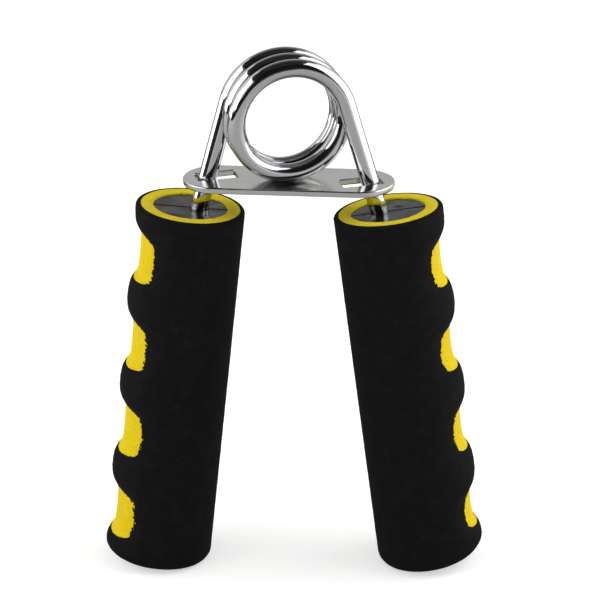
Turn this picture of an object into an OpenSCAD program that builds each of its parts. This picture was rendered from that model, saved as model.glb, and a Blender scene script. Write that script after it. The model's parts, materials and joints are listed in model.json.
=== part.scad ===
// Hand grip strengthener.
// One steel wire makes the coil spring and its two legs. Each leg is clamped in a two-part
// moulded core, and the core wears two layers of foam. A flat guide plate under the coil
// keeps the legs in line. All sizes are millimetres and all angles degrees.
// +Z is up, the coil's axis runs along Y, and the grips stand on the plane z = 0.
// The left side is the right side turned half a turn about Z.

/* [Spring wire] */
// Diameter of the spring wire
wire_d = 5.2; // [4.4:0.1:6]
// Mean diameter of the coil, from wire centre to wire centre
coil_mean_d = 31.8; // [28:0.2:36]
// Air between neighbouring turns of the coil
turn_gap = 0.6; // [0.5:0.05:1.5]
// Lean of each leg from the vertical, seen along the coil's axis
leg_lean = 15.2; // [12:0.1:20]
// Length of each leg from the coil down to the bend inside the grip
leg_upper_length = 50; // [46:0.2:60]
// Depth of the bend below the top of the grip
leg_bend_depth = 16.5; // [12:0.5:20]
// Solid core left below the tip of the leg
leg_tip_cover = 17; // [10:0.5:30]

/* [Grips] */
// Length of a grip, foam to foam
grip_length = 110; // [106:0.5:125]
// Outer diameter of a grip
grip_d = 31.4; // [30:0.2:36]
// Lean of a grip from the vertical
grip_lean = 6.6; // [4:0.1:9]
// Wall of the black outer foam
outer_foam_wall = 1.3; // [1.2:0.1:1.8]
// Floor of the black outer foam under the core
outer_foam_floor = 4.5; // [3.5:0.1:6]
// Rounding of the grip's top edge
top_round = 1; // [0.6:0.1:1.2]
// Rounding of the grip's bottom edge
bottom_round = 4.5; // [3:0.1:6]
// How deep the foam has settled where the grip stands
foot_flat_depth = 0.5; // [0.4:0.1:0.8]

/* [Finger grooves] */
// Number of finger grooves in a grip
groove_count = 4; // [3:1:4]
// Distance from the top of the grip to the middle of the first groove
groove_first = 15.5; // [14:0.1:17]
// Distance between the middles of neighbouring grooves
groove_pitch = 26.4; // [24:0.1:27]
// Depth of a groove at its deepest line
groove_depth = 2.5; // [2:0.05:3]
// Length of a groove's level floor along the grip
groove_floor_length = 9.4; // [7:0.1:10.5]
// Length of the slope at each end of a groove
groove_ramp_length = 6.6; // [5.5:0.1:7.5]
// How far the grinding axis lies behind the grip's axis
groove_shift = 3.6; // [2.8:0.1:4.4]

/* [Core] */
// Outer diameter of the moulded core
core_d = 21.2; // [19:0.1:23]
// Outer wall of the core
core_wall = 1.8; // [1.4:0.1:2.4]
// Thickness of the core's top disc
core_top_wall = 3; // [2:0.1:4]
// Thickness of the ribs that cradle the leg
core_rib_wall = 2.2; // [1.6:0.1:3]
// Number of hollow bays between the ribs
core_bays = 6; // [4:1:7]
// Depth of the core's top disc below the foam
core_recess = 0.5; // [0:0.1:1]
// Seam left between the two halves of the core
core_seam = 0.3; // [0.2:0.05:0.5]
// Diameter of the pegs that line up the two halves
peg_d = 2.6; // [2:0.1:3]
// Height of a peg
peg_length = 3; // [2:0.1:4]
// Wall of the bosses round the pegs and sockets
peg_boss_wall = 1.2; // [0.9:0.1:1.4]

/* [Guide plate] */
// Metal left in the guide plate beyond the outer end of each slot
plate_end_wall = 3.65; // [3:0.05:6]
// Width of the guide plate, which is also the diameter of its round ends
plate_width = 19.4; // [17:0.2:24]
// Thickness of the guide plate
plate_thickness = 1.8; // [1.2:0.1:2.5]
// Length of each slot, along the way the leg moves
slot_length = 11.8; // [11:0.1:13]
// Rounding of the slots' corners
slot_corner_r = 0.5; // [0.2:0.1:1]

/* [Fits] */
// Clearance between the plate and the lowest turn of the coil
plate_coil_clearance = 0.3; // [0.2:0.05:0.6]
// Clearance on each side of a leg in its slot
slot_side_clearance = 0.45; // [0.4:0.05:0.7]
// Clearance between a leg at rest and the outer end of its slot
slot_end_clearance = 0.2; // [0.15:0.05:0.4]
// Clearance round the leg in the core's channel
leg_channel_clearance = 0.05; // [0.03:0.01:0.15]
// Clearance round a peg in its socket
peg_clearance = 0.05; // [0.03:0.01:0.1]
// Glue line between the core and the foam, and between the foams
glue_line = 0.05; // [0.03:0.01:0.15]

/* [Hidden] */

$fn = 96;

steel = "#C9CACC";
plate_steel = "#AEAFB0";
core_plastic = "#2B2B2E";
yellow_foam = "#E3C400";
black_foam = "#18181A";

// ---- Spring geometry, measured from the centre of the coil ----
wire_r = wire_d/2;
coil_r = coil_mean_d/2;
pitch = wire_d + turn_gap;
lead_angle = atan(pitch/(2*PI*coil_r));
// The wire leaves the coil where its tangent leans by leg_lean
half_coil_turn = 360 + 90 - leg_lean;
leg_start = helix_point(half_coil_turn);
leg_dir = [
    sin(leg_lean)*cos(lead_angle),
    -sin(lead_angle),
    -cos(leg_lean)*cos(lead_angle)
];
// Straight run of the coil's own solid before the leg takes over
coil_tail = wire_d;

// ---- Each leg and its grip share one upright plane, turned by arm_turn ----
arm_turn = atan2(leg_dir.y, leg_dir.x);
leg_tilt = acos(-leg_dir.z);
bend_point = leg_start + leg_upper_length*leg_dir;
// How far the round knuckle at the bend stands proud of the wire
knuckle_proud = 0.02;
grip_dir = [
    sin(grip_lean)*cos(arm_turn),
    sin(grip_lean)*sin(arm_turn),
    -cos(grip_lean)
];
grip_top = bend_point - leg_bend_depth*grip_dir;

// ---- Grip and core ----
grip_r = grip_d/2;
inner_foam_r = grip_r - outer_foam_wall;
core_r = core_d/2;
core_cavity_r = core_r - core_wall;
core_bottom = grip_length - outer_foam_floor - glue_line;
core_length = core_bottom - core_recess;
leg_lower_length = core_bottom - leg_tip_cover - leg_bend_depth;
bay_pitch = (core_length - core_top_wall)/core_bays;
bay_height = bay_pitch - core_rib_wall;
peg_r = peg_d/2;
peg_boss_r = peg_r + peg_clearance + peg_boss_wall;
// The pegs stand midway between the leg's channel and the core's wall
peg_offset = (wire_r + leg_channel_clearance + core_cavity_r)/2;
// Ribs that carry pegs: the second from the top and the last but one
peg_ribs = [2, core_bays - 1];

// The lowest point of a leaning grip is on the rounded inner side of its bottom edge
grip_lowest = grip_top.z - (grip_length - bottom_round)*cos(grip_lean)
    - (grip_r - bottom_round)*sin(grip_lean) - bottom_round;
coil_z = -grip_lowest - foot_flat_depth;

// ---- Guide plate, measured from the centre of the coil ----
plate_top = -coil_r - wire_r - plate_coil_clearance;
plate_middle = plate_top - plate_thickness/2;
leg_at_plate = leg_start + (leg_start.z - plate_middle)/-leg_dir.z*leg_dir;
plate_turn = atan2(leg_at_plate.y, leg_at_plate.x);
plate_end_r = plate_width/2;
// Half the leg's footprint in the slanted cut through the plate's thickness
leg_half_cut_x = wire_r/cos(leg_lean) + plate_thickness/2*tan(leg_lean);
leg_half_cut_y = wire_r/cos(lead_angle) + plate_thickness/2*tan(lead_angle);
slot_outer_end = leg_at_plate.x + leg_half_cut_x + slot_end_clearance;
slot_width = 2*(leg_half_cut_y + slot_side_clearance);
// The plate reaches past the legs by half their cut, the clearance and the end wall
plate_length = 2*(norm([leg_at_plate.x, leg_at_plate.y]) + leg_half_cut_x
    + slot_end_clearance + plate_end_wall);

// ---- Facets of the coil ----
rings_per_turn = 40;
wire_sides = 18;

// ---- Shared by the cuts and joins ----
// How far joined shapes overlap, and how far a cut runs past a surface
overlap = 1;
// Side of the cubes that stand for a half space
far = 400;

// Point on the wire's centre line, turned by a degrees from the middle of the top
function helix_point(a) = [coil_r*sin(a), -pitch*a/360, coil_r*cos(a)];

// Unit vector along the helix at the same point
function helix_tangent(a) = [
    cos(a)*cos(lead_angle), -sin(lead_angle), -sin(a)*cos(lead_angle)
];

// Unit vector from the coil's axis outward at the same point
function helix_outward(a) = [sin(a), 0, cos(a)];

// Ring of points round the wire at centre c, with the wire running along t
function wire_ring(c, t, out) = [
    for (i = [0:wire_sides - 1])
        let (a = 360*i/wire_sides)
        c + wire_r*(cos(a)*out + sin(a)*cross(t, out))
];

// Faces of a closed tube with n rings
function tube_faces(n) = concat(
    [[for (i = [0:wire_sides - 1]) i]],
    [
        for (k = [0:n - 2], i = [0:wire_sides - 1], half = [0, 1])
            let (
                a = k*wire_sides + i,
                b = k*wire_sides + (i + 1)%wire_sides,
                c = b + wire_sides,
                d = a + wire_sides
            )
            half == 0 ? [a, d, c] : [a, c, b]
    ],
    [[for (i = [wire_sides - 1:-1:0]) (n - 1)*wire_sides + i]]
);

// Smallest distance between centre points more than half a turn apart, less the wire
function least_turn_gap() =
    let (
        steps = 72,
        last = 2*half_coil_turn,
        points = [for (a = [0:360/steps:last]) helix_point(a - half_coil_turn)]
    )
    min([
        for (i = [0:len(points) - 1])
            for (j = [i + steps/2:1:len(points) - 1])
                norm(points[i] - points[j])
    ]) - wire_d;

echo("least gap between turns", least_turn_gap());

// The coil: an unbroken tube whose two ends run straight into the legs
module spring_coil() {
    steps = ceil(2*half_coil_turn/360*rings_per_turn);
    turn_step = 2*half_coil_turn/steps;
    back_end = helix_point(-half_coil_turn) - coil_tail*helix_tangent(-half_coil_turn);
    front_end = helix_point(half_coil_turn) + coil_tail*helix_tangent(half_coil_turn);
    turns = [for (k = [0:steps]) k*turn_step - half_coil_turn];
    rings = concat(
        wire_ring(back_end, helix_tangent(turns[0]), helix_outward(turns[0])),
        [for (a = turns) each wire_ring(helix_point(a), helix_tangent(a), helix_outward(a))],
        wire_ring(front_end, helix_tangent(turns[steps]), helix_outward(turns[steps]))
    );
    color(steel)
        translate([0, 0, coil_z])
            polyhedron(points=rings, faces=tube_faces(steps + 3), convexity=8);
}

// Placement of the right arm: origin at the leg's bend, arm in the local XZ plane
module arm_frame() {
    translate([bend_point.x, bend_point.y, coil_z + bend_point.z])
        rotate([0, 0, arm_turn])
            children();
}

// Placement of the right grip: origin at the centre of its top, grip along local -Z,
// and local +X facing out from the middle of the object
module grip_frame() {
    arm_frame()
        rotate([0, -grip_lean, 0])
            translate([0, 0, leg_bend_depth])
                children();
}

// The left side repeats the right side, half a turn about Z
module left_side() {
    rotate([0, 0, 180]) children();
}

// Round bar along the leg from the coil's tail to the tip, bent at the local origin. The
// bend is a round knuckle, a hair thicker than the bar.
module leg_bar(diameter, extra=0) {
    rotate([0, -leg_tilt, 0])
        cylinder(d=diameter, h=leg_upper_length - coil_tail);
    sphere(d=diameter + 2*knuckle_proud);
    rotate([0, -grip_lean, 0])
        translate([0, 0, -leg_lower_length - extra])
            cylinder(d=diameter, h=leg_lower_length + extra);
}

module leg() {
    color(steel) arm_frame() leg_bar(wire_d);
}

// The leg's channel, placed in the grip's frame
module leg_channel() {
    translate([0, 0, -leg_bend_depth])
        rotate([0, grip_lean, 0])
            leg_bar(wire_d + 2*leg_channel_clearance, leg_channel_clearance);
}

// Depth of the middle of rib number i below the top of the grip
function rib_depth(i) = core_recess + core_top_wall + i*bay_pitch - core_rib_wall/2;

// Both halves of the core in one, hollow between its ribs
module core_shell() {
    difference() {
        translate([0, 0, -core_bottom])
            cylinder(r=core_r, h=core_length);
        for (i = [1:core_bays])
            translate([0, 0, -core_recess - core_top_wall - i*bay_pitch + core_rib_wall])
                cylinder(r=core_cavity_r, h=bay_height);
    }
}

// Children at each peg, with local +Z across the seam towards the socket half
module at_pegs() {
    for (i = peg_ribs, side = [-1, 1])
        translate([side*peg_offset, 0, -rib_depth(i)])
            rotate([90, 0, 0])
                children();
}

// Half space on the socket half's side of the seam
module seam_side() {
    translate([-far/2, -far - core_seam/2, -far/2])
        cube(far);
}

// Bosses that carry the pegs or the sockets, from the seam to the core's wall
module peg_bosses() {
    intersection() {
        translate([0, 0, -core_bottom])
            cylinder(r=core_cavity_r + core_wall/2, h=core_length);
        at_pegs()
            translate([0, 0, core_seam/2])
                cylinder(r=peg_boss_r, h=core_r);
    }
}

// One half of the core on the seam's socket side, without pegs or sockets
module core_half_body() {
    intersection() {
        core_shell();
        seam_side();
    }
    peg_bosses();
}

// The half with the pegs, on the far side of the seam
module core_peg_half() {
    color(core_plastic) grip_frame() {
        difference() {
            mirror([0, 1, 0]) core_half_body();
            leg_channel();
        }
        at_pegs()
            translate([0, 0, -core_seam])
                cylinder(r=peg_r, h=core_seam + peg_length);
    }
}

// The half with the sockets
module core_socket_half() {
    color(core_plastic) grip_frame()
        difference() {
            core_half_body();
            leg_channel();
            at_pegs() cylinder(r=peg_r + peg_clearance, h=peg_length + peg_clearance);
        }
}

// Half profile of the whole grip, rounded at both ends
module grip_profile() {
    translate([0, -grip_length + bottom_round])
        square([grip_r, grip_length - bottom_round - top_round]);
    translate([0, -grip_length])
        square([grip_r - bottom_round, grip_length]);
    translate([0, -top_round - overlap])
        square([grip_r - top_round, top_round + overlap]);
    translate([grip_r - bottom_round, -grip_length + bottom_round])
        circle(r=bottom_round);
    translate([grip_r - top_round, -top_round])
        circle(r=top_round);
}

// The slope at each end of a groove climbs past the grip's surface by this share of its
// depth, so that it meets the foam in an edge
groove_overrun = 0.15;
groove_climb = (1 + groove_overrun)*groove_depth;

// Radius of the grinding profile at distance z from a groove's middle. The slope is an S.
function groove_profile_r(z) =
    let (t = max(0, min(1, (abs(z) - groove_floor_length/2)/groove_ramp_length)))
    grip_r + groove_shift - groove_depth + groove_climb*(1 - cos(180*t))/2;

// Solid swept by the grinding wheel in one groove, about an axis behind the grip's own
module groove_cut() {
    half = groove_floor_length/2 + groove_ramp_length;
    ramp_steps = 7;
    step = groove_ramp_length/ramp_steps;
    levels = concat(
        [for (i = [0:ramp_steps]) half - i*step],
        [for (i = [ramp_steps:-1:0]) i*step - half]
    );
    reach = grip_r + groove_shift + groove_depth;
    translate([-groove_shift, 0, 0])
        rotate_extrude()
            polygon(concat(
                [[reach, -half], [reach, half]],
                [for (z = levels) [groove_profile_r(z), z]]
            ));
}

module all_groove_cuts() {
    for (i = [0:groove_count - 1])
        translate([0, 0, -groove_first - i*groove_pitch])
            groove_cut();
}

// Everything below the plane that the grips stand on
module below_floor() {
    translate([-far/2, -far/2, -far]) cube(far);
}

// Yellow foam tube on the core, bared where the grooves reach it
module inner_foam() {
    color(yellow_foam) grip_frame()
        difference() {
            translate([0, 0, -core_bottom])
                cylinder(r=inner_foam_r, h=core_bottom);
            translate([0, 0, -core_bottom - overlap])
                cylinder(r=core_r + glue_line, h=core_bottom + 2*overlap);
            all_groove_cuts();
        }
}

// Black foam cup over the yellow foam, closed below and open above
module outer_foam() {
    color(black_foam)
        difference() {
            grip_frame()
                difference() {
                    rotate_extrude() grip_profile();
                    translate([0, 0, -grip_length + outer_foam_floor])
                        cylinder(r=inner_foam_r + glue_line, h=grip_length);
                    all_groove_cuts();
                }
            below_floor();
        }
}

// Flat plate with round ends and a slot for each leg, cut along the way the legs move
module guide_plate() {
    color(plate_steel)
        translate([0, 0, coil_z + plate_top - plate_thickness])
            linear_extrude(plate_thickness)
                difference() {
                    rotate([0, 0, plate_turn]) {
                        square([plate_length - plate_width, plate_width], center=true);
                        for (side = [-1, 1])
                            translate([side*(plate_length/2 - plate_end_r), 0])
                                circle(r=plate_end_r);
                    }
                    slot_outline();
                    rotate([0, 0, 180]) slot_outline();
                }
}

// Rectangular slot with small corner rounds
module slot_outline() {
    corners_x = [slot_corner_r, slot_length - slot_corner_r];
    corners_y = [slot_corner_r, slot_width - slot_corner_r];
    translate([slot_outer_end - slot_length, leg_at_plate.y - slot_width/2]) {
        translate([slot_corner_r, 0])
            square([slot_length - 2*slot_corner_r, slot_width]);
        translate([0, slot_corner_r])
            square([slot_length, slot_width - 2*slot_corner_r]);
        for (x = corners_x, y = corners_y)
            translate([x, y]) circle(r=slot_corner_r);
    }
}

spring_coil();
guide_plate();
left_side() leg();  // left_leg
left_side() core_peg_half();  // left_core_peg_half
left_side() core_socket_half();  // left_core_socket_half
left_side() inner_foam();  // left_inner_foam
left_side() outer_foam();  // left_outer_foam
leg();  // right_leg
core_peg_half();  // right_core_peg_half
core_socket_half();  // right_core_socket_half
inner_foam();  // right_inner_foam
outer_foam();  // right_outer_foam
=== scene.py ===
# %% [markdown]
# # A spring hand grip
#
# One steel wire, wound into a coil and chrome-plated, makes the spring and both of its legs. The
# legs pass through a slotted guide plate and end in moulded cores, and each core wears two layers
# of foam: a yellow tube, and over it a black cup that is ground away in four finger grooves. The
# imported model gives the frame: its bodies, its joints and the place of every piece.

import json
import math

import bmesh
import bpy
import numpy as np
from mathutils import Matrix, Vector, noise


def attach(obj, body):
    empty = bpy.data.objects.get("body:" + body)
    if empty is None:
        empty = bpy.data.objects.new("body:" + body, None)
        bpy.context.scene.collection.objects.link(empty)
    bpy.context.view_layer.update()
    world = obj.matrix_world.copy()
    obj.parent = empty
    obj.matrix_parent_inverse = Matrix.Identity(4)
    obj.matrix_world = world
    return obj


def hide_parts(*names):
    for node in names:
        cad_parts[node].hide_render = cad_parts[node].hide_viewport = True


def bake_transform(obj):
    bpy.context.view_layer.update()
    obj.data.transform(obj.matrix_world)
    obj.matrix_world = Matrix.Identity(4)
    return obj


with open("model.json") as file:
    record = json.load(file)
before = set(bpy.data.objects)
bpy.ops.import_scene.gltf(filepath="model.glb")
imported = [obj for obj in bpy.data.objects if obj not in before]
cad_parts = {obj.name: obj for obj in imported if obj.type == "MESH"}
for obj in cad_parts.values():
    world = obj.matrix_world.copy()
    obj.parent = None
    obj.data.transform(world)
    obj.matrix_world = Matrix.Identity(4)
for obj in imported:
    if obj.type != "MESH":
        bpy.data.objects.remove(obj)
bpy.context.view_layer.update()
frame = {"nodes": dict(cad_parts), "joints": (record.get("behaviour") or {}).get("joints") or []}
squeeze = next(joint for joint in frame["joints"] if joint["name"] == "squeeze")

# %% [markdown]
# ## Sizes
#
# Blender works in metres here and the workshop in millimetres, so sizes are written in
# millimetres and turned into metres where a mesh is made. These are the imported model's own
# driving sizes, so the dressed pieces and the solids agree.

# %% Driving sizes, in millimetres and degrees
MM = 0.001
WIRE_D, COIL_MEAN_D, TURN_GAP = 5.2, 31.8, 0.6
LEG_LEAN, LEG_UPPER, LEG_BEND_DEPTH, LEG_TIP_COVER = 15.2, 50, 16.5, 17
GRIP_LENGTH, GRIP_D, GRIP_LEAN = 110, 31.4, 6.6
BLACK_WALL, BLACK_FLOOR, TOP_ROUND = 1.3, 4.5, 1.0
GROOVE_FIRST, GROOVE_PITCH, GROOVE_DEPTH = 15.5, 26.4, 2.5
GROOVE_FLOOR, GROOVE_RAMP, GROOVE_OVERRUN = 9.4, 6.6, 0.15
CORE_D, CORE_RECESS, GLUE_LINE = 21.2, 0.5, 0.05
PLATE_WIDTH, PLATE_THICKNESS, PLATE_COIL_CLEARANCE, PLATE_END_WALL = 19.4, 1.8, 0.3, 3.65
SLOT_LENGTH, SLOT_CORNER_R, SLOT_SIDE_CLEARANCE, SLOT_END_CLEARANCE = 11.8, 0.5, 0.45, 0.2
print("wire:", WIRE_D, "mm thick; grips:", GRIP_LENGTH, "mm long and", GRIP_D, "mm thick")

# %% [markdown]
# ## Places
#
# The coil's axis is the squeeze joint's axis. Each leg leaves the coil along its tangent, so the
# leg's direction, its bend inside the grip and the grip's axis all follow from the sizes. The two
# grips are alike but for a half turn, so only the right one is worked out. It gets a frame of its
# own, with the origin at the middle of its top and +X outward, in which a round grip is easy to
# describe.

# %% Places worked out from the sizes
SIDES = ("left", "right")
wire_r, coil_r, grip_r, core_r = WIRE_D / 2, COIL_MEAN_D / 2, GRIP_D / 2, CORE_D / 2
yellow_r = grip_r - BLACK_WALL
pitch = WIRE_D + TURN_GAP
lead = math.atan(pitch / (2 * math.pi * coil_r))
lean, grip_lean = math.radians(LEG_LEAN), math.radians(GRIP_LEAN)
half_coil_turn = math.radians(360 + 90 - LEG_LEAN)  # from the middle of the top to a leg
coil_centre = Vector(squeeze["pos_m"]) / MM


def helix_point(angle):
    """Point on the wire's centre line, turned by angle from the middle of the top."""
    along = -pitch * angle / (2 * math.pi)
    return coil_centre + Vector((coil_r * math.sin(angle), along, coil_r * math.cos(angle)))


leg_dir = Vector((math.sin(lean) * math.cos(lead), -math.sin(lead),
                  -math.cos(lean) * math.cos(lead)))
arm_turn = math.atan2(leg_dir.y, leg_dir.x)
leg_start = helix_point(half_coil_turn)
bend_point = leg_start + LEG_UPPER * leg_dir
grip_dir = Vector((math.sin(grip_lean) * math.cos(arm_turn),
                   math.sin(grip_lean) * math.sin(arm_turn), -math.cos(grip_lean)))
core_bottom = GRIP_LENGTH - BLACK_FLOOR - GLUE_LINE
leg_tip = bend_point + (core_bottom - LEG_TIP_COVER - LEG_BEND_DEPTH) * grip_dir
HALF_TURN = Matrix.Rotation(math.pi, 4, "Z")


def grip_place(side):
    """Turns millimetres in a grip's own frame into millimetres in the object's frame."""
    right = (Matrix.Translation(bend_point) @ Matrix.Rotation(arm_turn, 4, "Z")
             @ Matrix.Rotation(-grip_lean, 4, "Y") @ Matrix.Translation((0, 0, LEG_BEND_DEPTH)))
    return right if side == "right" else HALF_TURN @ right


print("right grip's top centre:", [round(v, 2) for v in grip_place("right").translation])
print("right leg's tip:", [round(v, 2) for v in leg_tip])

# %% [markdown]
# ## Small helpers
#
# Four helpers are used all the way down: one turns a hex colour into the linear values that
# Blender's sockets take, one adds a node with its settings and links, one starts a material, and
# one puts an object into the scene.

# %% Helpers


def linear(hex_colour):
    """An sRGB hex colour as linear red, green, blue and alpha."""
    srgb = [int(hex_colour[i:i + 2], 16) / 255 for i in (1, 3, 5)]
    return tuple(c / 12.92 if c <= 0.04045 else ((c + 0.055) / 1.055) ** 2.4 for c in srgb) + (1,)


def add_node(tree, kind, sockets=None, **settings):
    """Adds a node. sockets gives a value, or a socket to link from, for each of its inputs."""
    node = tree.nodes.new(kind)
    for name, value in settings.items():
        setattr(node, name, value)
    for name, value in (sockets or {}).items():
        if isinstance(value, bpy.types.NodeSocket):
            tree.links.new(value, node.inputs[name])
        else:
            node.inputs[name].default_value = value
    return node


def new_material(name):
    """A material with its node tree and its Principled shader."""
    material = bpy.data.materials.new(name)
    material.use_nodes = True
    return material, material.node_tree, material.node_tree.nodes["Principled BSDF"]


def add_object(name, data):
    """An object that shows data, linked into the scene."""
    made = bpy.data.objects.new(name, data)
    bpy.context.scene.collection.objects.link(made)
    return made


print("half-bright grey in linear light:", round(linear("#808080")[0], 3))

# %% [markdown]
# ## Camera
#
# The camera stands in front and to the left, a little above, a metre away, with a long lens,
# which keeps the two grips nearly parallel in view. Its place is written as an azimuth, an
# elevation and a distance from the point that it circles, and the point it looks at lies a little
# beside that.

# %% Camera, in degrees, millimetres and pixels
CAMERA_AZIMUTH, CAMERA_ELEVATION, CAMERA_ROLL = -13.97, 22.63, -0.83
CAMERA_DISTANCE, ORBIT_CENTRE = 973.4, Vector((0.0, 0.0, 74.3))
LOOK_RIGHT, LOOK_UP = 2.75, 6.74
FOCAL_PIXELS, FRAME_PIXELS, SENSOR_WIDTH = 3370, 600, 36

azimuth, elevation = math.radians(CAMERA_AZIMUTH), math.radians(CAMERA_ELEVATION)
towards_camera = Vector((math.sin(azimuth) * math.cos(elevation),
                         -math.cos(azimuth) * math.cos(elevation), math.sin(elevation)))
camera_place = ORBIT_CENTRE + CAMERA_DISTANCE * towards_camera
upright = towards_camera.to_track_quat("Z", "Y")
look_at = ORBIT_CENTRE + upright @ Vector((LOOK_RIGHT, LOOK_UP, 0))
camera_data = bpy.data.cameras.new("camera")
camera_data.sensor_width = SENSOR_WIDTH
camera_data.lens = SENSOR_WIDTH * FOCAL_PIXELS / FRAME_PIXELS
camera = add_object("camera", camera_data)
camera.rotation_mode = "QUATERNION"
camera.rotation_quaternion = ((camera_place - look_at).to_track_quat("Z", "Y")
                              @ Matrix.Rotation(math.radians(CAMERA_ROLL), 3, "Z").to_quaternion())
camera.location = camera_place * MM
bpy.context.scene.camera = camera
bpy.context.scene.view_settings.view_transform = "Standard"
print("lens:", round(camera_data.lens, 1), "mm")

# %% [markdown]
# ## Studio
#
# The world is white where the camera sees it, straight or in metal. As a light it is dimmer, so
# that most of the light comes from the softboxes and the foam keeps its shape. The Light Path
# node tells the one kind of ray from the other.

# %% World
WHITE, FILL_LIGHT = "#FFFFFF", 0.45


def seen_directly(tree):
    """1 where the camera sees a surface, straight or in metal or glass, and 0 for light rays."""
    path = add_node(tree, "ShaderNodeLightPath")
    camera_or_glossy = add_node(tree, "ShaderNodeMath", operation="MAXIMUM", sockets={
        0: path.outputs["Is Camera Ray"], 1: path.outputs["Is Glossy Ray"]})
    return add_node(tree, "ShaderNodeMath", operation="MAXIMUM", sockets={
        0: camera_or_glossy.outputs[0], 1: path.outputs["Is Transmission Ray"]}).outputs[0]


world = bpy.data.worlds.new("white_studio")
world.use_nodes = True
background = world.node_tree.nodes["Background"]
background.inputs["Color"].default_value = linear(WHITE)
world_light = add_node(world.node_tree, "ShaderNodeMix", data_type="FLOAT", sockets={
    "Factor": seen_directly(world.node_tree), "A": FILL_LIGHT, "B": 1.0})
world.node_tree.links.new(world_light.outputs[0], background.inputs["Strength"])
bpy.context.scene.world = world
print("world:", world.name, "with", FILL_LIGHT, "of its brightness as light")

# %% [markdown]
# The floor is a pale matt board. It glows a little where it is seen, which lifts its pale grey to
# white but leaves the object's shadow on it.

# %% Floor
FLOOR_HALF, FLOOR_COLOUR, FLOOR_LIFT = 3.0, "#E6E6E4", 0.5


def stage_board(name, corners, material):
    """A flat board of the stage with its corners in metres."""
    mesh = bpy.data.meshes.new(name)
    mesh.from_pydata(corners, [], [tuple(range(len(corners)))])
    mesh.materials.append(material)
    made = add_object(name, mesh)
    return made


def level_corners(half_width, front, back, height):
    """The corners of a level board, in metres."""
    return [(-half_width, front, height), (half_width, front, height),
            (half_width, back, height), (-half_width, back, height)]


pale_board, tree, shader = new_material("pale_matt_board")
shader.inputs["Base Color"].default_value = linear(FLOOR_COLOUR)
shader.inputs["Roughness"].default_value = 1.0
shader.inputs["Specular IOR Level"].default_value = 0.0
shader.inputs["Emission Color"].default_value = linear(WHITE)
lift = add_node(tree, "ShaderNodeMath", operation="MULTIPLY",
                sockets={0: seen_directly(tree), 1: FLOOR_LIFT})
tree.links.new(lift.outputs[0], shader.inputs["Emission Strength"])
stage_board("floor", level_corners(FLOOR_HALF, -FLOOR_HALF, FLOOR_HALF, 0), pale_board)
print("floor:", 2 * FLOOR_HALF, "m square")

# %% [markdown]
# A tall softbox stands on each side and none overhead, so the foam is lit from its sides and the
# tops of the grips stay a little darker. A softbox is given by the directions that it fills, seen
# from the coil, because they decide where it shows in the metal: azimuth, to the right from
# straight in front, and elevation.

# %% Softboxes
STUDIO_MIDDLE = coil_centre * MM
SOFTBOX_DISTANCE = 0.6
SOFTBOXES = {  # azimuths and elevations filled, in degrees, and brightness, where 1 is white
    "softbox_left": ((-140, -58), (-9, 45), 1.75),
    "softbox_right": ((40, 112), (-10, 64), 1.85),
}


def wall_corners(azimuths, elevations, distance):
    """The corners, in metres, of an upright board that fills those directions from the coil."""
    (left, right), (low, high) = azimuths, elevations
    corners = []
    for turn, climb in ((left, low), (right, low), (right, high), (left, high)):
        reach = distance / math.cos(math.radians(turn - (left + right) / 2))
        corners.append(STUDIO_MIDDLE + Vector((
            reach * math.sin(math.radians(turn)), -reach * math.cos(math.radians(turn)),
            distance * math.tan(math.radians(climb)))))
    return corners


for name, (azimuths, elevations, brightness) in SOFTBOXES.items():
    corners = wall_corners(azimuths, elevations, SOFTBOX_DISTANCE)
    lamp = bpy.data.lights.new(name, "AREA")
    lamp.shape = "RECTANGLE"
    lamp.size = (corners[1] - corners[0]).length
    lamp.size_y = (corners[2] - corners[1]).length
    lamp.energy = brightness * math.pi * lamp.size * lamp.size_y
    box = add_object(name, lamp)
    box.location = (corners[0] + corners[2]) / 2
    middle = math.radians(sum(azimuths) / 2)
    box.rotation_mode = "QUATERNION"
    outwards = Vector((math.sin(middle), -math.cos(middle), 0))
    box.rotation_quaternion = outwards.to_track_quat("Z", "Y")
    print(name, "is", round(lamp.size, 2), "by", round(lamp.size_y, 2), "m")

# %% [markdown]
# Polished metal shows the room more than it shows light, so the room has boards that only
# reflections see. Black ones in front, overhead and high on both sides make the broad dark band
# on each turn of the wire. Grey and pale ones stand low in front, at the far ends of both sides
# and behind, and lie on the floor: they make the narrower bands between light and dark. The
# upright ones are given by the directions that they fill, as the softboxes are.

# %% Boards that only reflections see
UPRIGHT_BOARDS = {  # azimuths, elevations, distance in metres, brightness
    "black_board_high_left": ((-140, -52), (45, 66), 0.62, 0.02),
    "pale_board_left": ((-160, -114), (0, 40), 0.58, 0.9),
    "grey_strip_front_left": ((-56, -43), (8, 33), 0.6, 0.5),
    "black_board_front_left": ((-56, -12), (-11, 62), 0.66, 0.012),
    "black_board_front_right": ((-13, 41), (8, 62), 0.68, 0.012),
    "black_board_high_right": ((38, 46), (28, 62), 0.55, 0.02),
    "dark_strip_front": ((-13, 8), (-5, 9), 0.6, 0.12),
    "grey_strip_front": ((8, 37), (-5, 9), 0.6, 0.38),
    "black_strip_left": ((-90, -40), (-13, -1), 0.5, 0.02),
    "grey_strip_right": ((112, 134), (-9, 6), 0.76, 0.75),
    "pale_board_right": ((112, 134), (6, 42), 0.76, 1.05),
    "black_strip_behind": ((134, 220), (-9, 7), 0.78, 0.1),
    "grey_board_behind": ((134, 212), (5, 30), 0.8, 0.62),
    "dark_board_behind_high": ((120, 212), (30, 62), 0.82, 0.16),
}
LEVEL_BOARD_HALF = 1.2
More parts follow.
